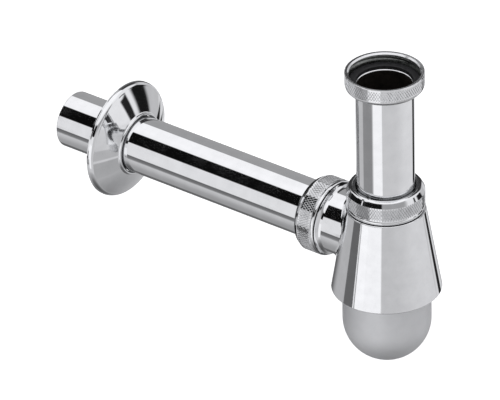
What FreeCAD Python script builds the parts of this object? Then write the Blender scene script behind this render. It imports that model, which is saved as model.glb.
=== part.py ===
import FreeCAD, Part
import os

# Bidet bottle trap, inlet thread G1 1/4, both tubes 32 mm outside, all lengths in millimetres.
# The origin is the middle of the inlet gasket's upper face, +Z runs up the inlet,
# and the outlet tube runs along +Y towards the wall.
os.makedirs("parts", exist_ok=True)

# Tubes
tube_diameter = 32.0
tube_wall = 1.0
inlet_to_outlet = 99.0
outlet_tube_length = 194.5
tube_in_branch = 19.9
tube_edge = 0.4

# Clearances
slide_gap = 0.35
seal_gap = 0.05
thread_gap = 0.3
ring_gap = 0.5
nut_to_body = 0.4
small_chamfer = 0.3

# Inlet union, its thread bore comes out at 42 mm for G1 1/4
inlet_thread_depth = 5.6
inlet_nut_wall = 0.6
inlet_nut_web = 1.2
inlet_corner_width = 2.4
inlet_corner_height = 3.0
inlet_knurl_relief = 0.15
inlet_knurl_margin = 1.1
inlet_ledge = 1.2
gasket_recess = 0.1
gasket_gap = 0.2
gasket_thickness = 2.2
gasket_hole_step = 0.5
collar_width = 3.45
collar_thickness = 1.0
collar_round = 0.9

# Compression nuts, the same part at the neck and at the outlet
nut_wall = 1.5
nut_length = 14.0
nut_shoulder = 3.3
nut_lip = 2.5
knurl_relief = 0.2
nut_bead = 0.5
crest_inset = 3.0
crest_round = 1.7
crest_drop = 0.95
crest_inner = 0.6
ring_recess = 0.4

# Wedge seals and slip rings, the same parts at the neck and at the outlet
slip_ring_thickness = 1.2
seal_height = 6.4
seal_above_mouth = 1.4
seal_toe = 0.85
seal_head = 2.35

# Trap body
spigot_wall = 1.3
neck_step = 2.3
bell_flare = 8.3
bell_wall = 2.0
bell_edge = 0.5
branch_wall = 2.05
branch_neck = 3.6
branch_below_shoulder = 1.3
branch_fillet = 2.6
branch_flare = 2.3
branch_flare_length = 3.5
chamber_wall = 2.86
roof_over_bore = 0.65
roof_rise = 2.5
seat_under_bore = 1.15
cup_thread_length = 9.5
skirt_recess = 3.5

# Cup
cup_wall = 2.2
cup_thread_wall = 1.5
cup_bore = 44.4
cup_straight = 22.4
cup_shoulder_gap = 0.4
cup_seal_thickness = 2.0
cup_seal_step = 0.1
dip_above_cup_floor = 13.0

# Wall flange
flange_diameter = 66.4
flange_depth = 11.9
flange_rim = 4.2
flange_edge = 0.8
flange_bead = 1.9
flange_sheet = 1.0
lip_thickness = 1.6
lip_height = 1.4
wall_entry = 35.1
depth_mark_behind_lip = 8.0
depth_mark_width = 0.8
depth_mark_depth = 0.2

# Derived radii
tube_radius = tube_diameter / 2
bore_radius = tube_radius - tube_wall
slide_radius = tube_radius + slide_gap
seal_radius = tube_radius + seal_gap
collar_radius = tube_radius + collar_width
seat_radius = collar_radius + slide_gap
inlet_thread_radius = seat_radius + inlet_ledge
seal_toe_radius = seal_radius + seal_toe
seal_head_radius = seal_radius + seal_head
spigot_radius = seal_head_radius + spigot_wall
nut_thread_radius = spigot_radius + thread_gap
nut_radius = nut_thread_radius + nut_wall
bell_top = spigot_radius + neck_step
bell_bottom = bell_top + bell_flare
branch_reach = bell_bottom + branch_neck
branch_radius = slide_radius + branch_wall
cup_inner = cup_bore / 2
cup_outer = cup_inner + cup_wall
cup_thread_radius = cup_inner + cup_thread_wall
body_thread_radius = cup_thread_radius + thread_gap

# Derived levels, heights in the nuts and seals count from the nut's lip
outlet_level = -inlet_to_outlet
web = nut_length - nut_shoulder
ring_bottom = web - slip_ring_thickness
seal_bottom = ring_bottom - seal_height
mouth = ring_bottom - seal_above_mouth
shoulder_level = outlet_level + branch_radius + branch_below_shoulder
neck_nut_level = shoulder_level + nut_to_body
outlet_nut_level = branch_reach + nut_to_body
roof_level = outlet_level + slide_radius + roof_over_bore
chamber_top = roof_level - roof_rise
seat_level = outlet_level - slide_radius - seat_under_bore
recess_top = seat_level - cup_thread_length
bell_low = recess_top - skirt_recess
cup_rim = seat_level - cup_seal_thickness
cup_shoulder = recess_top - cup_shoulder_gap
cup_centre = cup_shoulder - cup_straight
tube_bottom = cup_centre - cup_inner + dip_above_cup_floor
branch_mouth = outlet_nut_level + mouth
outlet_tube_start = branch_mouth - tube_in_branch
outlet_tube_end = outlet_tube_start + outlet_tube_length
flange_wall_plane = outlet_tube_end - wall_entry
flange_front = flange_wall_plane - flange_depth

origin = FreeCAD.Vector(0, 0, 0)
up = FreeCAD.Vector(0, 0, 1)
outlet_centre = FreeCAD.Vector(0, 0, outlet_level)


def turned(start, *steps):
    """Solid of revolution about Z from a closed outline of (radius, height) points.

    A step is a point for a straight edge, or a pair of points for an arc through the
    first one to the second one.
    """
    edges = []
    here = FreeCAD.Vector(start[0], 0, start[1])
    first = here
    for step in steps:
        if isinstance(step[0], tuple):
            middle = FreeCAD.Vector(step[0][0], 0, step[0][1])
            there = FreeCAD.Vector(step[1][0], 0, step[1][1])
            edges.append(Part.Arc(here, middle, there).toShape())
        else:
            there = FreeCAD.Vector(step[0], 0, step[1])
            edges.append(Part.makeLine(here, there))
        here = there
    edges.append(Part.makeLine(here, first))
    face = Part.Face(Part.Wire(edges))
    return face.revolve(origin, up, 360)


def to_outlet(shape):
    """Copy of a shape turned from +Z to +Y and brought to the outlet axis."""
    moved = shape.copy()
    moved.rotate(origin, FreeCAD.Vector(1, 0, 0), -90)
    moved.translate(outlet_centre)
    return moved


def raised(shape, height):
    moved = shape.copy()
    moved.translate(FreeCAD.Vector(0, 0, height))
    return moved


def rounded(corner_r, corner_h, size_r, size_h):
    """Arc step that rounds a corner, from beside it in radius to beside it in height.

    The sizes are signed: they point from the corner to where the arc's centre lies.
    """
    share = 1 - 0.70710678
    return ((corner_r + share * size_r, corner_h + share * size_h), (corner_r, corner_h + size_h))


def rounded_back(corner_r, corner_h, size_r, size_h):
    """The same rounding, met the other way: it ends beside the corner in radius."""
    share = 1 - 0.70710678
    return ((corner_r + share * size_r, corner_h + share * size_h), (corner_r + size_r, corner_h))


def bend(along, across):
    """Middle of an arc that leaves a straight run, as its way along the run and across it."""
    chord = (along ** 2 + across ** 2) ** 0.5
    return chord / 2, across / 2 - along * (chord - along) / (2 * across)


# Inlet nut
c = small_chamfer
outer = inlet_thread_radius + inlet_nut_wall
ledge = -gasket_recess
nut_top = ledge + inlet_thread_depth + gasket_recess
web_top = -gasket_thickness - collar_thickness
nut_bottom = web_top - inlet_nut_web
edge = inlet_nut_wall / 2
grip = outer - inlet_knurl_relief
knurl_low = nut_bottom + inlet_corner_height + c
knurl_high = nut_top - inlet_knurl_margin
inlet_nut = turned(
    (slide_radius, web_top),
    (slide_radius, nut_bottom),
    (outer - inlet_corner_width, nut_bottom),
    rounded(outer, nut_bottom, -inlet_corner_width, inlet_corner_height),
    (outer, knurl_low),
    (grip, knurl_low + inlet_knurl_relief),
    (grip, knurl_high - inlet_knurl_relief),
    (outer, knurl_high),
    (outer, nut_top - edge),
    rounded_back(outer, nut_top, -edge, -edge),
    (inlet_thread_radius + edge / 2, nut_top),
    (inlet_thread_radius, nut_top - edge / 2),
    (inlet_thread_radius, ledge),
    (seat_radius, ledge),
    (seat_radius, web_top),
)

# Inlet gasket
outer = seat_radius - gasket_gap
hole = bore_radius + gasket_hole_step
inlet_gasket = turned(
    (hole + gasket_gap, 0),
    (hole, -gasket_gap),
    (hole, -gasket_thickness),
    (outer, -gasket_thickness),
    (outer, -gasket_gap),
    (outer - gasket_gap, 0),
)

# Inlet tube with its turned-out collar
collar_top = -gasket_thickness
edge = tube_wall / 5
inlet_tube = turned(
    (bore_radius, collar_top - collar_round),
    rounded_back(bore_radius, collar_top, collar_round, -collar_round),
    (collar_radius - edge, collar_top),
    (collar_radius, collar_top - edge),
    (collar_radius, collar_top - collar_thickness),
    (tube_radius, collar_top - collar_thickness),
    (tube_radius, tube_bottom + edge),
    (tube_radius - edge, tube_bottom),
    (bore_radius + edge, tube_bottom),
    (bore_radius, tube_bottom + edge),
)

# Compression nut with its lip at height 0: a bead, the knurl band, a cone and a crest round the tube
crest = nut_radius - crest_inset
crest_end = nut_length - crest_drop
ring_level = nut_length - ring_recess
bead_top = nut_lip - knurl_relief
out, fall = bend(crest_round, -crest_drop)
inward, dip = bend(crest_inner, -ring_recess)
compression_nut = turned(
    (nut_thread_radius, c),
    (nut_thread_radius + c, 0),
    (nut_radius - nut_bead, 0),
    ((nut_radius, bead_top / 2), (nut_radius - nut_bead, bead_top)),
    (nut_radius - knurl_relief, nut_lip),
    (nut_radius - knurl_relief, web - knurl_relief),
    (nut_radius, web),
    (crest + crest_round, crest_end),
    ((crest + out, nut_length + fall), (crest, nut_length)),
    ((crest - inward, nut_length + dip), (crest - crest_inner, ring_level)),
    (slide_radius + c, ring_level),
    (slide_radius, ring_level - c),
    (slide_radius, web),
    (nut_thread_radius, web),
)

# Thin slip ring and wedge seal
ring_radius = nut_thread_radius - ring_gap
slip_ring = turned(
    (slide_radius, ring_bottom),
    (ring_radius, ring_bottom),
    (ring_radius, web),
    (slide_radius, web),
)
edge = seal_toe / 4
wedge_seal = turned(
    (seal_radius, seal_bottom + edge),
    (seal_radius + edge, seal_bottom),
    (seal_toe_radius, seal_bottom),
    (seal_head_radius, mouth),
    (seal_head_radius, ring_bottom - edge),
    (seal_head_radius - edge, ring_bottom),
    (seal_radius, ring_bottom),
)

# Trap body: bell, threaded neck and threaded branch in one casting
neck_mouth = neck_nut_level + mouth
seat_floor = neck_nut_level + seal_bottom
slope = bell_flare / (shoulder_level - bell_low)
chamber_top_radius = bell_top + slope * (shoulder_level - chamber_top) - chamber_wall
recess_radius = bell_bottom - bell_wall - slope * skirt_recess
bell = turned(
    (seal_head_radius, neck_mouth),
    (spigot_radius - c, neck_mouth),
    (spigot_radius, neck_mouth - c),
    (spigot_radius, shoulder_level),
    (bell_top - bell_edge, shoulder_level),
    rounded(bell_top, shoulder_level, -bell_edge, -bell_edge),
    (bell_bottom, bell_low + bell_edge),
    rounded_back(bell_bottom, bell_low, -bell_edge, bell_edge),
    (bell_bottom - bell_wall, bell_low),
    (recess_radius, recess_top),
    (body_thread_radius, recess_top),
    (body_thread_radius, seat_level),
    (cup_inner, seat_level),
    (chamber_top_radius, chamber_top),
    (slide_radius, roof_level),
    (slide_radius, seat_floor),
    (seal_toe_radius, seat_floor),
)
bell_inside = turned(
    (0, recess_top - skirt_recess),
    (body_thread_radius, recess_top - skirt_recess),
    (body_thread_radius, seat_level),
    (cup_inner, seat_level),
    (chamber_top_radius, chamber_top),
    (slide_radius, roof_level),
    (slide_radius, seat_floor),
    (0, seat_floor),
)

# The branch grows out of a taller copy of the bell's side, which is cut off under the shoulder
side_top = shoulder_level - bell_edge
side_slope = bell_flare / (side_top - bell_low - bell_edge)
core_low = recess_top + c
core = turned(
    (0, core_low),
    (bell_top + side_slope * (side_top - core_low), core_low),
    (bell_top - side_slope * branch_radius, side_top + branch_radius),
    (0, side_top + branch_radius),
)
branch_root = bore_radius - bell_wall
branch_length = branch_reach - c - branch_root
branch = Part.makeCylinder(branch_radius, branch_length, FreeCAD.Vector(0, 0, branch_root), up)
saddle = core.fuse(to_outlet(branch)).removeSplitter()
foot = []
for edge in saddle.Edges:
    box = edge.BoundBox
    across = abs(box.XLength - 2 * branch_radius) < slide_gap
    if across and box.ZLength > branch_radius and box.YLength > slide_gap:
        foot.append(edge)
saddle = saddle.makeFillet(branch_fillet, foot)
half = 2 * branch_reach
lid = Part.makeBox(2 * half, 2 * half, half, FreeCAD.Vector(-half, -half, side_top))
saddle = saddle.cut(lid)

# The branch swells to a collar against the nut, with the threaded spigot beyond it
collar_start = branch_reach - branch_flare_length
collar_outer = branch_radius + branch_flare
waist = branch_radius - c / 10
onward, swell = bend(branch_flare_length - c, collar_outer - waist)
branch_collar = turned(
    (0, collar_start),
    (waist, collar_start),
    ((waist + swell, collar_start + onward), (collar_outer, branch_reach - c)),
    (collar_outer - c, branch_reach),
    (0, branch_reach),
)
spigot = turned(
    (0, branch_reach - c),
    (spigot_radius, branch_reach - c),
    (spigot_radius, branch_mouth - c),
    (spigot_radius - c, branch_mouth),
    (0, branch_mouth),
)
branch_bore = turned(
    (0, bore_radius / 2),
    (slide_radius, bore_radius / 2),
    (slide_radius, outlet_nut_level + seal_bottom),
    (seal_toe_radius, outlet_nut_level + seal_bottom),
    (seal_head_radius, branch_mouth),
    (seal_head_radius, branch_mouth + c),
    (0, branch_mouth + c),
)
body = bell.fuse(saddle).fuse(to_outlet(branch_collar)).fuse(to_outlet(spigot))
body = body.cut(bell_inside).cut(to_outlet(branch_bore))
trap_body = body.removeSplitter()

# Cup and its flat seal
cup = turned(
    (cup_inner, cup_rim),
    (cup_thread_radius - c, cup_rim),
    (cup_thread_radius, cup_rim - c),
    (cup_thread_radius, cup_shoulder),
    (cup_outer - c, cup_shoulder),
    (cup_outer, cup_shoulder - c),
    (cup_outer, cup_centre),
    rounded_back(cup_outer, cup_centre - cup_outer, -cup_outer, cup_outer),
    (0, cup_centre - cup_inner),
    rounded(cup_inner, cup_centre - cup_inner, -cup_inner, cup_inner),
)
seal_inner = cup_inner + cup_seal_step
cup_seal = turned(
    (seal_inner, cup_rim),
    (body_thread_radius - ring_gap, cup_rim),
    (body_thread_radius - ring_gap, seat_level),
    (seal_inner, seat_level),
)

# Outlet tube with the scribed depth mark that hides under the flange
mark = flange_front + depth_mark_behind_lip
mark_end = mark + depth_mark_width
mark_radius = tube_radius - depth_mark_depth
edge = tube_wall / 5
outlet_tube = turned(
    (bore_radius, outlet_tube_start + edge),
    (bore_radius + edge, outlet_tube_start),
    (tube_radius - edge, outlet_tube_start),
    (tube_radius, outlet_tube_start + edge),
    (tube_radius, mark),
    (mark_radius, mark),
    (mark_radius, mark_end),
    (tube_radius, mark_end),
    (tube_radius, outlet_tube_end - tube_edge),
    rounded_back(tube_radius, outlet_tube_end, -tube_edge, -tube_edge),
    (bore_radius, outlet_tube_end),
)

# Wall flange pressed from sheet: rolled rim, shallow bell and a thin lip round the tube
rim = flange_diameter / 2
lip = slide_radius + lip_thickness
rim_front = flange_wall_plane - flange_rim
lip_back = flange_front + lip_height
face_depth = rim_front - lip_back
sheet = flange_sheet
middle_radius = lip + 0.55 * (rim - lip)
middle_height = rim_front - 0.42 * face_depth
bead_rise = flange_rim - flange_edge
nose = 0.4 * lip_thickness
wall_flange = turned(
    (rim - sheet, flange_wall_plane),
    (rim - c, flange_wall_plane),
    (rim, flange_wall_plane - c),
    (rim, rim_front + bead_rise),
    rounded_back(rim, rim_front, -flange_bead, bead_rise),
    ((middle_radius, middle_height), (lip + 0.4 * sheet, lip_back)),
    (lip, lip_back - 0.4 * sheet),
    (lip, flange_front + nose),
    rounded_back(lip, flange_front, -nose, nose),
    (slide_radius + nose, flange_front),
    rounded(slide_radius, flange_front, nose, nose),
    (slide_radius, lip_back + 1.4 * sheet),
    (lip + 0.8 * sheet, lip_back + 1.4 * sheet),
    ((middle_radius, middle_height + sheet), (rim - flange_bead, rim_front + sheet)),
    rounded(rim - sheet, rim_front + sheet, -0.5 * flange_bead, bead_rise - sheet),
)

# Write every piece
pieces = {
    "inlet_nut": inlet_nut,
    "inlet_gasket": inlet_gasket,
    "inlet_tube": inlet_tube,
    "neck_nut": raised(compression_nut, neck_nut_level),
    "neck_slip_ring": raised(slip_ring, neck_nut_level),
    "neck_seal": raised(wedge_seal, neck_nut_level),
    "trap_body": trap_body,
    "cup_seal": cup_seal,
    "cup": cup,
    "outlet_nut": to_outlet(raised(compression_nut, outlet_nut_level)),
    "outlet_slip_ring": to_outlet(raised(slip_ring, outlet_nut_level)),
    "outlet_seal": to_outlet(raised(wedge_seal, outlet_nut_level)),
    "outlet_tube": to_outlet(outlet_tube),
    "wall_flange": to_outlet(wall_flange),
}
for name, shape in pieces.items():
    solid = shape if shape.ShapeType == "Solid" else shape.Solids[0]
    box = solid.BoundBox
    print(name, "valid", solid.isValid(), "volume %.0f" % solid.Volume, "faces", len(solid.Faces),
          "z %.2f to %.2f" % (box.ZMin, box.ZMax), "y %.2f to %.2f" % (box.YMin, box.YMax))
    solid.exportStep("parts/%s.step" % name)
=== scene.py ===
import bpy
import bmesh
import math
from mathutils import Matrix, Vector


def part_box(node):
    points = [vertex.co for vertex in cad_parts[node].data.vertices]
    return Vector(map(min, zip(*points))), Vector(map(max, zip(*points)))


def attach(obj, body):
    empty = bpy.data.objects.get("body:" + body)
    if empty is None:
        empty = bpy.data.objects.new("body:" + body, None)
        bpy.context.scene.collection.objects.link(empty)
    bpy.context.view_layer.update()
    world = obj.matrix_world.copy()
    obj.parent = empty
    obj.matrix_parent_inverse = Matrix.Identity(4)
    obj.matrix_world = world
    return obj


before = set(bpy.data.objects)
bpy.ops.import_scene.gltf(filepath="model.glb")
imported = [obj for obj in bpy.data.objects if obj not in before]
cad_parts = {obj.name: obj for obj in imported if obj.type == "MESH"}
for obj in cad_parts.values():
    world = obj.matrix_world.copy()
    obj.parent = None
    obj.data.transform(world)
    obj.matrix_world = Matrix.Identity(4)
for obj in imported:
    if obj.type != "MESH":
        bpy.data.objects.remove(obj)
bpy.context.scene.view_settings.view_transform = "Standard"
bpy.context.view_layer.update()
millimetre = 0.001
outletLevel = -0.099
toOutlet = Matrix.Translation((0, 0, outletLevel)) @ Matrix.Rotation(math.radians(-90), 4, "X")

# Camera, worked out from the photograph
cameraValues = {
    "azimuth": -51.811,
    "elevation": 31.094,
    "roll": -1.192,
    "location": (-2.96052, -2.2352, 2.16335),
    "lens": 576.0,
    "sensor": 36.0,
    "clip": (0.5, 30.0),
}


def cameraTurn(azimuth, elevation, roll):
    a = math.radians(azimuth)
    e = math.radians(elevation)
    back = Vector((math.sin(a) * math.cos(e), -math.cos(a) * math.cos(e), math.sin(e)))
    right = Vector((math.cos(a), math.sin(a), 0.0))
    up = back.cross(right)
    turn = Matrix((right, up, back)).transposed()
    return turn @ Matrix.Rotation(math.radians(roll), 3, "Z")


def makeCamera(values):
    data = bpy.data.cameras.new("photoCamera")
    data.sensor_width = values["sensor"]
    data.sensor_fit = "HORIZONTAL"
    data.lens = values["lens"]
    data.clip_start, data.clip_end = values["clip"]
    camera = bpy.data.objects.new("photoCamera", data)
    bpy.context.scene.collection.objects.link(camera)
    turn = cameraTurn(values["azimuth"], values["elevation"], values["roll"])
    camera.matrix_world = Matrix.Translation(values["location"]) @ turn.to_4x4()
    bpy.context.scene.camera = camera


makeCamera(cameraValues)
print("camera placed")

# Studio that the chrome mirrors: shades over the height, then soft panels, each laid over those before it.
# A panel round Z lies between two azimuths and two heights, one round Y between two angles from +X and two y.
studioValues = {
    "levels": [(-1.0, 0.10), (-0.91, 0.20), (-0.865, 0.335), (-0.81, 0.40), (-0.74, 0.465), (-0.65, 0.53),
               (-0.50, 0.79), (-0.36, 0.735), (-0.05, 0.735), (0.30, 0.62), (0.40, 0.36), (0.46, 0.09),
               (0.56, 0.06), (1.0, 0.06)],
    "blue": 1.02,
    # round, from, to, low, high, softness of the angle, softness of the height, level
    "panels": [
        ("Z", 150, 262, -0.75, 0.30, 80, 0.2, 0.605),         # broad grey from the camera's side
        ("Z", 150, 262, -0.75, -0.44, 80, 0.06, 0.655),       # dip tube and cup, right half
        ("Z", 266, 338, 0.02, 0.36, 10, 0.1, 0.90),           # flange, upper part
        ("Z", 336, 358, -0.38, 0.10, 3, 0.02, 0.57),          # flange, right edge
        ("Z", 40, 78, -0.84, -0.58, 10, 0.04, 0.14),          # dark flag low behind
        ("Z", 252, 330, -0.76, -0.53, 12, 0.02, 0.43),        # flange and cup, low at the right
        ("Z", 248, 300, -0.492, -0.33, 12, 0.02, 0.51),       # bell, right side
        ("Z", 88, 152, -0.58, -0.40, 6, 0.04, 0.56),          # dip tube and bell, left side
        ("Z", 40, 121, -0.46, -0.20, 6, 0.03, 0.50),          # bell, left side
        ("Z", 20, 76, -0.50, -0.20, 34, 0.03, 0.13),          # bell, dark left edge
        ("Z", 69, 93, -0.64, -0.46, 3, 0.02, 0.02),           # dip tube, dark line at the left
        ("Z", 138, 152, -0.53, -0.335, 2, 0.02, 0.19),        # nuts' lower fillets, dark stripe
        ("Z", 121, 165, -0.546, -0.496, 5, 0.006, 0.29),      # dip tube, grey stripe
        ("Z", 120, 149, -0.40, -0.19, 3, 0.03, 0.145),        # bell, dark stripe
        ("Z", 122, 150, -0.165, 0.13, 3, 0.02, 0.88),         # neck nut, bright line under the crescent
        ("Z", 78, 123, -0.275, 0.20, 3, 0.02, 0.05),          # nuts' cones, dark left end
        ("Z", 150, 205, -0.165, 0.31, 3, 0.02, 0.88),         # neck nut, bright line under the crescent
        ("Z", 149.5, 170, -0.40, 0.05, 2, 0.05, 1.10),        # bell, white stripe
        ("Z", 169, 205, -0.66, 0.05, 3, 0.05, 1.06),          # dip tube, white stripe
        ("Z", 205, 285, 0.34, 0.62, 4, 0.06, 0.38),           # neck nut's cone, grey
        ("Z", 282, 352, 0.37, 0.95, 8, 0.06, 0.92),           # neck nut's cone, pale right
        ("Z", 12, 80, -0.20, 0.83, 8, 0.05, 0.04),            # dark wall behind the rims
        ("Z", 348, 362, -0.50, -0.385, 3, 0.02, 0.02),        # bell, dark line at the right
        ("Z", 350, 371, -0.64, -0.47, 3, 0.02, 0.02),         # dip tube, dark line at the right
        ("Z", 316, 336.5, -0.28, 0.30, 6, 0.06, 0.01),        # flange, wide dark strip
        ("Z", 298, 308, -0.06, 0.228, 3, 0.016, 0.02),        # flange, narrow dark strip
        ("Z", 98, 127.5, 0.03, 0.37, 3, 0.02, 0.01),          # neck nut, dark crescent
        ("Z", 124, 153, 0.13, 0.46, 3, 0.02, 0.006),          # neck nut, dark crescent
        ("Z", 150, 205, 0.31, 0.70, 3, 0.02, 0.006),          # neck nut, dark crescent
        ("Z", 118, 300, 0.64, 1.1, 8, 0.06, 1.00),            # overhead, left
        ("Z", 84, 122, 0.37, 1.1, 6, 0.05, 0.90),             # overhead, far left
        ("Z", 112, 156, 0.48, 0.72, 6, 0.03, 1.00),           # inlet nut's lead-in
        ("Y", -20, 50, 0.512, 0.57, 4, 0.01, 0.38),           # wall tube, grey top
        ("Y", 51, 108, 0.48, 0.60, 4, 0.02, 1.06),            # wall tube, upper white stripe
        ("Y", 108.5, 130, 0.50, 0.57, 3, 0.01, 0.004),        # wall tube, black stripe
        ("Y", 127, 152.5, 0.49, 0.58, 3, 0.02, 0.004),        # wall tube, black stripe
        ("Y", 152.5, 192, 0.512, 0.56, 3, 0.008, 0.86),       # wall tube, lower white stripe
        ("Y", 189, 203, 0.515, 0.557, 3, 0.01, 0.86),         # wall tube, pale underside
        ("Z", 0, 360, 0.84, 1.1, 3, 0.03, 1.10),              # light straight above
    ],
}


def link(tree, source, target):
    tree.links.new(source, target)


def mathNode(tree, operation, *inputs):
    node = tree.nodes.new("ShaderNodeMath")
    node.operation = operation
    for i, value in enumerate(inputs):
        if isinstance(value, (int, float)):
            node.inputs[i].default_value = value
        else:
            link(tree, value, node.inputs[i])
    return node.outputs[0]


def stepNode(tree, value, start, end, low, high):
    node = tree.nodes.new("ShaderNodeMapRange")
    node.interpolation_type = "SMOOTHSTEP"
    link(tree, value, node.inputs["Value"])
    node.inputs["From Min"].default_value = start
    node.inputs["From Max"].default_value = end
    node.inputs["To Min"].default_value = low
    node.inputs["To Max"].default_value = high
    return node.outputs["Result"]


def window(tree, distance, half, soft):
    return stepNode(tree, distance, half - soft / 2, half + soft / 2, 1.0, 0.0)


def blendNode(tree, share, first, second):
    inverse = mathNode(tree, "SUBTRACT", 1.0, share)
    kept = mathNode(tree, "MULTIPLY", inverse, first)
    return mathNode(tree, "MULTIPLY_ADD", share, second, kept)


def makeWorld(values):
    world = bpy.data.worlds.new("studio")
    bpy.context.scene.world = world
    world.use_nodes = True
    tree = world.node_tree
    tree.nodes.clear()
    coordinate = tree.nodes.new("ShaderNodeTexCoord")
    split = tree.nodes.new("ShaderNodeSeparateXYZ")
    link(tree, coordinate.outputs["Generated"], split.inputs[0])
    x = split.outputs["X"]
    y = split.outputs["Y"]
    z = split.outputs["Z"]
    degrees = math.degrees(1)
    angles = {
        "Z": mathNode(tree, "MULTIPLY", mathNode(tree, "ARCTAN2", y, x), degrees),
        "Y": mathNode(tree, "MULTIPLY", mathNode(tree, "ARCTAN2", z, x), degrees),
    }
    heights = {"Z": z, "Y": y}
    ramp = tree.nodes.new("ShaderNodeValToRGB")
    link(tree, mathNode(tree, "MULTIPLY_ADD", z, 0.5, 0.5), ramp.inputs["Fac"])
    stops = ramp.color_ramp.elements
    for height, shade in values["levels"][1:-1]:
        stops.new((height + 1) / 2)
    for stop, (height, shade) in zip(stops, values["levels"]):
        stop.position = (height + 1) / 2
        stop.color = (shade, shade, shade, 1.0)
    level = ramp.outputs["Color"]
    for axis, start, end, low, high, softAngle, softHeight, shade in values["panels"]:
        away = mathNode(tree, "SUBTRACT", angles[axis], (start + end) / 2)
        turned = mathNode(tree, "ABSOLUTE", mathNode(tree, "WRAP", away, 180.0, -180.0))
        wide = window(tree, turned, (end - start) / 2, softAngle)
        raised = mathNode(tree, "ABSOLUTE", mathNode(tree, "SUBTRACT", heights[axis], (low + high) / 2))
        tall = window(tree, raised, (high - low) / 2, softHeight)
        share = mathNode(tree, "MULTIPLY", wide, tall)
        level = blendNode(tree, share, level, shade)
    grey = tree.nodes.new("ShaderNodeCombineColor")
    link(tree, level, grey.inputs[0])
    link(tree, level, grey.inputs[1])
    link(tree, mathNode(tree, "MULTIPLY", level, values["blue"]), grey.inputs[2])
    studio = tree.nodes.new("ShaderNodeBackground")
    link(tree, grey.outputs[0], studio.inputs["Color"])
    white = tree.nodes.new("ShaderNodeBackground")
    white.inputs["Color"].default_value = (1.0, 1.0, 1.0, 1.0)
    paths = tree.nodes.new("ShaderNodeLightPath")
    mix = tree.nodes.new("ShaderNodeMixShader")
    link(tree, paths.outputs["Is Camera Ray"], mix.inputs["Fac"])
    link(tree, studio.outputs[0], mix.inputs[1])
    link(tree, white.outputs[0], mix.inputs[2])
    output = tree.nodes.new("ShaderNodeOutputWorld")
    link(tree, mix.outputs[0], output.inputs["Surface"])


makeWorld(studioValues)

# Floor: pale paper, lifted for the camera alone so that it stays white round the shadow
floorValues = {"level": -0.32, "side": 8.0, "colour": (0.86, 0.86, 0.86, 1.0), "lift": 0.56}


def makeFloor(values):
    half = values["side"] / 2
    mesh = bpy.data.meshes.new("studioFloor")
    corners = [(-half, -half), (half, -half), (half, half), (-half, half)]
    mesh.from_pydata([(x, y, values["level"]) for x, y in corners], [], [(0, 1, 2, 3)])
    floor = bpy.data.objects.new("studioFloor", mesh)
    bpy.context.scene.collection.objects.link(floor)
    material = bpy.data.materials.new("palePaper")
    material.use_nodes = True
    tree = material.node_tree
    tree.nodes.clear()
    paper = tree.nodes.new("ShaderNodeBsdfDiffuse")
    paper.inputs["Color"].default_value = values["colour"]
    glow = tree.nodes.new("ShaderNodeEmission")
    paths = tree.nodes.new("ShaderNodeLightPath")
    seen = mathNode(tree, "MULTIPLY", paths.outputs["Is Camera Ray"], values["lift"])
    link(tree, seen, glow.inputs["Strength"])
    both = tree.nodes.new("ShaderNodeAddShader")
    link(tree, paper.outputs[0], both.inputs[0])
    link(tree, glow.outputs[0], both.inputs[1])
    output = tree.nodes.new("ShaderNodeOutputMaterial")
    link(tree, both.outputs[0], output.inputs["Surface"])
    mesh.materials.append(material)
    floor.visible_glossy = False


makeFloor(floorValues)
print("studio built")

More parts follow.
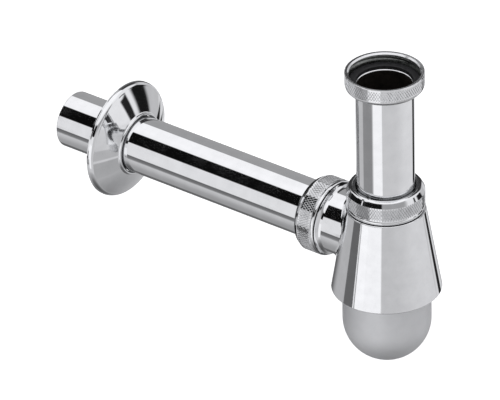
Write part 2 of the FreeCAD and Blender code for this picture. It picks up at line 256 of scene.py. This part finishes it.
# Materials, all on object coordinates in metres: two tones under a mottle, uneven gloss, a slight ripple
surfaceValues = {"stops": (0.3, 0.7), "haze": 0.45, "hazeRange": (0.35, 0.65), "rippleDepth": 0.001,
                 "grainBump": 0.12, "grainDepth": 0.0001, "edgeBlend": 0.00003}
metalValues = {
    "tubeChrome": {"dark": (0.80, 0.805, 0.815), "pale": (0.86, 0.865, 0.875), "rough": (0.025, 0.06),
                   "mottle": 140.0, "ripple": 55.0, "bump": 0.010, "grain": 0.0},
    "castChrome": {"dark": (0.80, 0.805, 0.815), "pale": (0.86, 0.865, 0.875), "rough": (0.03, 0.07),
                   "mottle": 180.0, "ripple": 90.0, "bump": 0.016, "grain": 0.0},
    "turnedChrome": {"dark": (0.79, 0.795, 0.805), "pale": (0.86, 0.865, 0.875), "rough": (0.04, 0.09),
                     "mottle": 260.0, "ripple": 160.0, "bump": 0.02, "grain": 0.0},
    "pressedChrome": {"dark": (0.80, 0.805, 0.815), "pale": (0.86, 0.865, 0.875), "rough": (0.03, 0.07),
                      "mottle": 150.0, "ripple": 70.0, "bump": 0.02, "grain": 0.0},
    "knurledChrome": {"dark": (0.58, 0.585, 0.595), "pale": (0.68, 0.685, 0.695), "rough": (0.05, 0.09),
                      "mottle": 420.0, "ripple": 300.0, "bump": 0.01, "grain": 0.0},
    "knurlTopChrome": {"dark": (0.74, 0.745, 0.755), "pale": (0.82, 0.825, 0.835), "rough": (0.05, 0.09),
                       "mottle": 420.0, "ripple": 300.0, "bump": 0.01, "grain": 0.0},
    # painted shade: a dark copy of the chrome laid into the inlet knurl's grooves, below the lighter points
    "grooveShadeChrome": {"dark": (0.24, 0.245, 0.25), "pale": (0.32, 0.325, 0.33), "rough": (0.16, 0.26),
                     "mottle": 420.0, "ripple": 300.0, "bump": 0.02, "grain": 0.0},
    "leadChrome": {"dark": (0.79, 0.795, 0.805), "pale": (0.86, 0.865, 0.875), "rough": (0.15, 0.21),
                   "mottle": 260.0, "ripple": 160.0, "bump": 0.02, "grain": 0.0},
    "satinChrome": {"dark": (0.80, 0.805, 0.815), "pale": (0.83, 0.835, 0.845), "rough": (0.60, 0.66),
                    "mottle": 160.0, "ripple": 900.0, "bump": 0.01, "grain": 2600.0},
    # painted shade: a dark copy of the chrome for the inside of the inlet nut and its thread ridge
    "threadShadeChrome": {"dark": (0.16, 0.165, 0.16), "pale": (0.27, 0.28, 0.27), "rough": (0.24, 0.38),
                     "mottle": 500.0, "ripple": 300.0, "bump": 0.05, "grain": 0.0},
    # painted shade: a dark copy of the chrome for the neck nut's ring round the tube, the outlet nut inside
    # 20.8 mm and the flange's lip
    "shadedChrome": {"dark": (0.20, 0.205, 0.21), "pale": (0.27, 0.275, 0.28), "rough": (0.16, 0.26),
                     "mottle": 300.0, "ripple": 160.0, "bump": 0.02, "grain": 0.0},
}


def noiseNode(tree, vector, scale, detail):
    node = tree.nodes.new("ShaderNodeTexNoise")
    link(tree, vector, node.inputs["Vector"])
    node.inputs["Scale"].default_value = scale
    node.inputs["Detail"].default_value = detail
    return node.outputs["Fac"]


def rampNode(tree, value, first, last):
    node = tree.nodes.new("ShaderNodeValToRGB")
    link(tree, value, node.inputs["Fac"])
    for stop, place, colour in zip(node.color_ramp.elements, surfaceValues["stops"], (first, last)):
        stop.position = place
        stop.color = (*colour, 1.0)
    return node.outputs["Color"]


def bumpNode(tree, height, strength, distance):
    node = tree.nodes.new("ShaderNodeBump")
    node.inputs["Strength"].default_value = strength
    node.inputs["Distance"].default_value = distance
    link(tree, height, node.inputs["Height"])
    return node


def startMaterial(name):
    material = bpy.data.materials.new(name)
    material.use_nodes = True
    tree = material.node_tree
    tree.nodes.clear()
    coordinate = tree.nodes.new("ShaderNodeTexCoord")
    return material, tree, coordinate.outputs["Object"]


def endMaterial(tree, shader):
    output = tree.nodes.new("ShaderNodeOutputMaterial")
    link(tree, shader, output.inputs["Surface"])


def metalShader(tree, where, values):
    shader = tree.nodes.new("ShaderNodeBsdfPrincipled")
    shader.inputs["Metallic"].default_value = 1.0
    mottle = noiseNode(tree, where, values["mottle"], 3.0)
    link(tree, rampNode(tree, mottle, values["dark"], values["pale"]), shader.inputs["Base Color"])
    haze = noiseNode(tree, where, values["mottle"] * surfaceValues["haze"], 2.0)
    gloss = stepNode(tree, haze, *surfaceValues["hazeRange"], *values["rough"])
    link(tree, gloss, shader.inputs["Roughness"])
    ripple = noiseNode(tree, where, values["ripple"], 1.0)
    bump = bumpNode(tree, ripple, values["bump"], surfaceValues["rippleDepth"])
    if values["grain"]:
        grain = noiseNode(tree, where, values["grain"], 2.0)
        fine = bumpNode(tree, grain, surfaceValues["grainBump"], surfaceValues["grainDepth"])
        link(tree, fine.outputs["Normal"], bump.inputs["Normal"])
    link(tree, bump.outputs["Normal"], shader.inputs["Normal"])
    return shader.outputs[0]


def makeMetal(name, values):
    material, tree, where = startMaterial(name)
    endMaterial(tree, metalShader(tree, where, values))
    return material


# The inside of the tubes: dull, with painted shade that makes it near black
innerValues = {"dark": (0.010, 0.0085, 0.007), "pale": (0.022, 0.018, 0.014), "rough": (0.55, 0.75),
               "scale": 320.0, "specular": 0.2}


def innerShader(tree, where, values):
    shader = tree.nodes.new("ShaderNodeBsdfPrincipled")
    shadeMottle = noiseNode(tree, where, values["scale"], 4.0)
    link(tree, rampNode(tree, shadeMottle, values["dark"], values["pale"]), shader.inputs["Base Color"])
    link(tree, stepNode(tree, shadeMottle, *surfaceValues["stops"], *values["rough"]), shader.inputs["Roughness"])
    shader.inputs["Specular IOR Level"].default_value = values["specular"]
    return shader.outputs[0]


# One metal outside a radius from the axis and a dark one inside it that paints shade there
def makeRoundMetal(name, values, inner, axis, centre, edge):
    material, tree, where = startMaterial(name)
    split = tree.nodes.new("ShaderNodeSeparateXYZ")
    link(tree, where, split.inputs[0])
    first = split.outputs["X"]
    second = split.outputs["Y"]
    if axis == "Y":
        second = mathNode(tree, "SUBTRACT", split.outputs["Z"], centre)
    squares = mathNode(tree, "MULTIPLY_ADD", second, second, mathNode(tree, "MULTIPLY", first, first))
    radius = mathNode(tree, "SQRT", squares)
    blend = surfaceValues["edgeBlend"]
    outside = stepNode(tree, radius, edge - blend, edge + blend, 0.0, 1.0)
    mix = tree.nodes.new("ShaderNodeMixShader")
    link(tree, outside, mix.inputs["Fac"])
    inside = metalShader if "mottle" in inner else innerShader
    link(tree, inside(tree, where, inner), mix.inputs[1])
    link(tree, metalShader(tree, where, values), mix.inputs[2])
    endMaterial(tree, mix.outputs[0])
    return material


rubberValues = {"dark": (0.014, 0.014, 0.015), "pale": (0.032, 0.032, 0.034), "rough": (0.42, 0.62),
                "scale": 700.0, "grain": 2800.0, "bump": 0.25, "depth": 0.0002}
plasticValues = {"dark": (0.70, 0.70, 0.67), "pale": (0.78, 0.78, 0.75), "rough": (0.30, 0.42),
                 "scale": 260.0, "grain": 1040.0, "bump": 0.08, "depth": 0.0002}


def makeMoulded(name, values):
    material, tree, where = startMaterial(name)
    shader = tree.nodes.new("ShaderNodeBsdfPrincipled")
    cloud = noiseNode(tree, where, values["scale"], 4.0)
    link(tree, rampNode(tree, cloud, values["dark"], values["pale"]), shader.inputs["Base Color"])
    link(tree, stepNode(tree, cloud, *surfaceValues["stops"], *values["rough"]), shader.inputs["Roughness"])
    bump = bumpNode(tree, noiseNode(tree, where, values["grain"], 3.0), values["bump"], values["depth"])
    link(tree, bump.outputs["Normal"], shader.inputs["Normal"])
    endMaterial(tree, shader.outputs[0])
    return material


plainMetals = ("castChrome", "satinChrome", "knurledChrome", "leadChrome", "threadShadeChrome")
materials = {name: makeMetal(name, metalValues[name]) for name in plainMetals}
# outer metal, inner painted shade, axis, level of the axis, radius between the two in metres
roundValues = {
    "inletNutChrome": ("turnedChrome", metalValues["threadShadeChrome"], "Z", 0.0, 0.02108),
    "inletKnurlChrome": ("knurlTopChrome", metalValues["grooveShadeChrome"], "Z", 0.0, 0.02151),
    "inletTubeChrome": ("tubeChrome", innerValues, "Z", 0.0, 0.01507),
    "wallTubeChrome": ("tubeChrome", innerValues, "Y", outletLevel, 0.01507),
    "neckNutChrome": ("turnedChrome", metalValues["shadedChrome"], "Z", 0.0, 0.0179),
    "outletNutChrome": ("turnedChrome", metalValues["shadedChrome"], "Y", outletLevel, 0.0208),
    "flangeChrome": ("pressedChrome", metalValues["shadedChrome"], "Y", outletLevel, 0.0171),
}
for name, (metal, inner, axis, centre, edge) in roundValues.items():
    materials[name] = makeRoundMetal(name, metalValues[metal], inner, axis, centre, edge)
materials["blackRubber"] = makeMoulded("blackRubber", rubberValues)
materials["naturalPlastic"] = makeMoulded("naturalPlastic", plasticValues)

finishes = {
    "inlet_nut": "inletNutChrome",
    "inlet_gasket": "blackRubber",
    "inlet_tube": "inletTubeChrome",
    "neck_nut": "neckNutChrome",
    "neck_slip_ring": "naturalPlastic",
    "neck_seal": "blackRubber",
    "trap_body": "castChrome",
    "cup_seal": "blackRubber",
    "cup": "satinChrome",
    "outlet_nut": "outletNutChrome",
    "outlet_slip_ring": "naturalPlastic",
    "outlet_seal": "blackRubber",
    "outlet_tube": "wallTubeChrome",
    "wall_flange": "flangeChrome",
}
for node, finish in finishes.items():
    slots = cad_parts[node].data.materials
    slots.clear()
    slots.append(materials[finish])
print("materials assigned")


# Knurling: diamond points set on a band by a node tree, then kept as plain mesh
def knurlTree():
    tree = bpy.data.node_groups.new("knurlBand", "GeometryNodeTree")
    face = tree.interface
    face.new_socket(name="Geometry", in_out="OUTPUT", socket_type="NodeSocketGeometry")
    for name, kind in (("Columns", "Int"), ("Rows", "Int"), ("Radius", "Float"), ("Start", "Float"),
                       ("Row Step", "Float"), ("Depth", "Float"), ("Flat", "Float"), ("Unevenness", "Float"),
                       ("Seed", "Int"), ("Metal", "Material")):
        face.new_socket(name=name, in_out="INPUT", socket_type="NodeSocket" + kind)
    given = tree.nodes.new("NodeGroupInput").outputs
    index = tree.nodes.new("GeometryNodeInputIndex").outputs[0]
    row = mathNode(tree, "FLOOR", mathNode(tree, "DIVIDE", index, given["Columns"]))
    column = mathNode(tree, "MODULO", index, given["Columns"])
    shift = mathNode(tree, "MULTIPLY", mathNode(tree, "MODULO", row, 2.0), 0.5)
    step = mathNode(tree, "DIVIDE", 2 * math.pi, given["Columns"])
    angle = mathNode(tree, "MULTIPLY", mathNode(tree, "ADD", column, shift), step)
    place = tree.nodes.new("ShaderNodeCombineXYZ")
    across = mathNode(tree, "COSINE", angle)
    link(tree, mathNode(tree, "MULTIPLY", across, given["Radius"]), place.inputs["X"])
    along = mathNode(tree, "SINE", angle)
    link(tree, mathNode(tree, "MULTIPLY", along, given["Radius"]), place.inputs["Y"])
    link(tree, mathNode(tree, "MULTIPLY_ADD", row, given["Row Step"], given["Start"]), place.inputs["Z"])
    points = tree.nodes.new("GeometryNodePoints")
    link(tree, mathNode(tree, "MULTIPLY", given["Columns"], given["Rows"]), points.inputs["Count"])
    link(tree, place.outputs[0], points.inputs["Position"])
    cone = tree.nodes.new("GeometryNodeMeshCone")
    cone.fill_type = "NGON"
    cone.inputs["Vertices"].default_value = 4
    link(tree, given["Flat"], cone.inputs["Radius Top"])
    cone.inputs["Radius Bottom"].default_value = 1.0
    cone.inputs["Depth"].default_value = 1.0
    lay = tree.nodes.new("GeometryNodeTransform")
    link(tree, cone.outputs["Mesh"], lay.inputs["Geometry"])
    lay.inputs["Rotation"].default_value = (0.0, math.radians(90), 0.0)
    size = tree.nodes.new("ShaderNodeCombineXYZ")
    link(tree, given["Depth"], size.inputs["X"])
    width = mathNode(tree, "MULTIPLY", mathNode(tree, "MULTIPLY", step, given["Radius"]), 0.5)
    link(tree, width, size.inputs["Y"])
    link(tree, given["Row Step"], size.inputs["Z"])
    shape = tree.nodes.new("GeometryNodeTransform")
    link(tree, lay.outputs[0], shape.inputs["Geometry"])
    link(tree, size.outputs[0], shape.inputs["Scale"])
    spread = tree.nodes.new("GeometryNodeInstanceOnPoints")
    link(tree, points.outputs[0], spread.inputs["Points"])
    link(tree, shape.outputs[0], spread.inputs["Instance"])
    facing = tree.nodes.new("ShaderNodeCombineXYZ")
    link(tree, angle, facing.inputs["Z"])
    turned = tree.nodes.new("FunctionNodeEulerToRotation")
    link(tree, facing.outputs[0], turned.inputs[0])
    link(tree, turned.outputs[0], spread.inputs["Rotation"])
    random = tree.nodes.new("FunctionNodeRandomValue")
    random.data_type = "FLOAT"
    link(tree, mathNode(tree, "SUBTRACT", 1.0, given["Unevenness"]), random.inputs[2])
    random.inputs[3].default_value = 1.0
    link(tree, given["Seed"], random.inputs["Seed"])
    heights = tree.nodes.new("ShaderNodeCombineXYZ")
    link(tree, random.outputs[1], heights.inputs["X"])
    heights.inputs["Y"].default_value = 1.0
    heights.inputs["Z"].default_value = 1.0
    link(tree, heights.outputs[0], spread.inputs["Scale"])
    real = tree.nodes.new("GeometryNodeRealizeInstances")
    link(tree, spread.outputs[0], real.inputs[0])
    dress = tree.nodes.new("GeometryNodeSetMaterial")
    link(tree, real.outputs[0], dress.inputs["Geometry"])
    link(tree, given["Metal"], dress.inputs["Material"])
    output = tree.nodes.new("NodeGroupOutput")
    link(tree, dress.outputs[0], output.inputs[0])
    return tree


def plainMesh(name, tree, settings):
    holder = bpy.data.objects.new(name, bpy.data.meshes.new(name + "Holder"))
    bpy.context.scene.collection.objects.link(holder)
    modifier = holder.modifiers.new(name, "NODES")
    modifier.node_group = tree
    for item in tree.interface.items_tree:
        if item.item_type == "SOCKET" and item.in_out == "INPUT" and item.name in settings:
            modifier[item.identifier] = settings[item.name]
    bpy.context.view_layer.update()
    shown = holder.evaluated_get(bpy.context.evaluated_depsgraph_get())
    mesh = bpy.data.meshes.new_from_object(shown)
    holder.modifiers.remove(modifier)
    bpy.data.objects.remove(holder)
    mesh.name = name
    return mesh


def addPiece(name, mesh, material, body):
    mesh.materials.clear()
    mesh.materials.append(materials[material])
    piece = bpy.data.objects.new(name, mesh)
    bpy.context.scene.collection.objects.link(piece)
    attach(piece, body)


# Lengths in millimetres; flat is the top's share of a point's width
knurlValues = {
    "inlet_nut_knurl": {"node": "inlet_nut", "body": "inlet_union", "along": "Z", "from lip": 2.3,
                        "height": 6.6, "radius": 21.40, "columns": 92, "row step": 1.32, "depth": 0.19,
                        "flat": 0.70, "unevenness": 0.10, "seed": 3, "metal": "inletKnurlChrome"},
    "neck_nut_knurl": {"node": "neck_nut", "body": "neck_collar_nut", "along": "Z", "from lip": 2.52,
                       "height": 7.98, "radius": 21.29, "columns": 90, "row step": 1.33, "depth": 0.13,
                       "flat": 0.78, "unevenness": 0.10, "seed": 5, "metal": "knurledChrome"},
    "outlet_nut_knurl": {"node": "outlet_nut", "body": "outlet_collar_nut", "along": "Y", "from lip": 2.52,
                         "height": 7.98, "radius": 21.29, "columns": 90, "row step": 1.33, "depth": 0.13,
                         "flat": 0.78, "unevenness": 0.10, "seed": 7, "metal": "knurledChrome"},
}
knurl = knurlTree()
for name, values in knurlValues.items():
    low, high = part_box(values["node"])
    lip = low.z if values["along"] == "Z" else low.y
    rows = round(values["height"] / values["row step"]) - 1
    settings = {
        "Columns": values["columns"],
        "Rows": rows,
        "Radius": (values["radius"] + values["depth"] / 2) * millimetre,
        "Start": lip + (values["from lip"] + values["row step"]) * millimetre,
        "Row Step": values["row step"] * millimetre,
        "Depth": values["depth"] * millimetre,
        "Flat": values["flat"],
        "Unevenness": values["unevenness"],
        "Seed": values["seed"],
        "Metal": materials[values["metal"]],
    }
    mesh = plainMesh(name, knurl, settings)
    if values["along"] == "Y":
        mesh.transform(toOutlet)
    print(name, len(mesh.polygons), "faces")
    addPiece(name, mesh, values["metal"], values["body"])
print("knurling cut")

# Inlet thread: one ridge wound inside the nut, which fades out at its ends, and a bright lead-in ring over it
threadValues = {"pitch": 2.309, "root": 21.02, "crest": 19.75, "flat": 0.30, "start": 0.75, "end": 4.1,
                "floor": -0.06, "top": 4.9, "thinFoot": 0.20, "gap": 0.22, "steps": 96, "fade": 0.10}
leadValues = {
    "steps": 192,
    "section": ((21.12, 5.585), (20.21, 5.50), (20.17, 5.50), (20.12, 5.47), (20.08, 5.43), (19.46, 4.705),
                (19.37, 4.625), (19.32, 4.525), (19.36, 4.365), (20.98, 3.305)),
}


def onCircle(radius, angle, height):
    return Vector((radius * math.cos(angle), radius * math.sin(angle), height)) * millimetre


def meshOfRings(name, rings):
    shape = bmesh.new()
    rows = [[shape.verts.new(point) for point in ring] for ring in rings]
    for low, high in zip(rows, rows[1:]):
        for k in range(len(low) - 1):
            shape.faces.new((low[k], low[k + 1], high[k + 1], high[k]))
    bmesh.ops.remove_doubles(shape, verts=shape.verts, dist=1e-7)
    bmesh.ops.recalc_face_normals(shape, faces=shape.faces)
    for face in shape.faces:
        face.smooth = True
    mesh = bpy.data.meshes.new(name)
    shape.to_mesh(mesh)
    shape.free()
    return mesh


def threadRings(values):
    turns = (values["end"] - values["start"]) / values["pitch"]
    count = int(turns * values["steps"])
    flat = values["flat"] / 2
    rings = []
    for i in range(count + 1):
        share = i / count
        angle = 2 * math.pi * i / values["steps"]
        middle = values["start"] + values["pitch"] * i / values["steps"]
        grown = min(1.0, share / values["fade"], (1 - share) / values["fade"])
        crest = values["root"] - grown * (values["root"] - values["crest"])
        foot = values["thinFoot"] + grown * (values["pitch"] / 2 - values["gap"])
        outline = ((values["root"], -foot), (crest, -flat), (crest, flat), (values["root"], foot))
        rings.append([onCircle(radius, angle, max(values["floor"], min(values["top"], middle + rise)))
                      for radius, rise in outline])
    return rings


def leadRings(values):
    step = 2 * math.pi / values["steps"]
    return [[onCircle(radius, i * step, height) for radius, height in values["section"]]
            for i in range(values["steps"] + 1)]


# the ridge takes the dark chrome that paints the shade inside the nut
ridge = meshOfRings("inlet_thread_ridge", threadRings(threadValues))
addPiece("inlet_thread_ridge", ridge, "threadShadeChrome", "inlet_union")
lead = meshOfRings("inlet_thread_lead", leadRings(leadValues))
addPiece("inlet_thread_lead", lead, "leadChrome", "inlet_union")
print("thread cut")
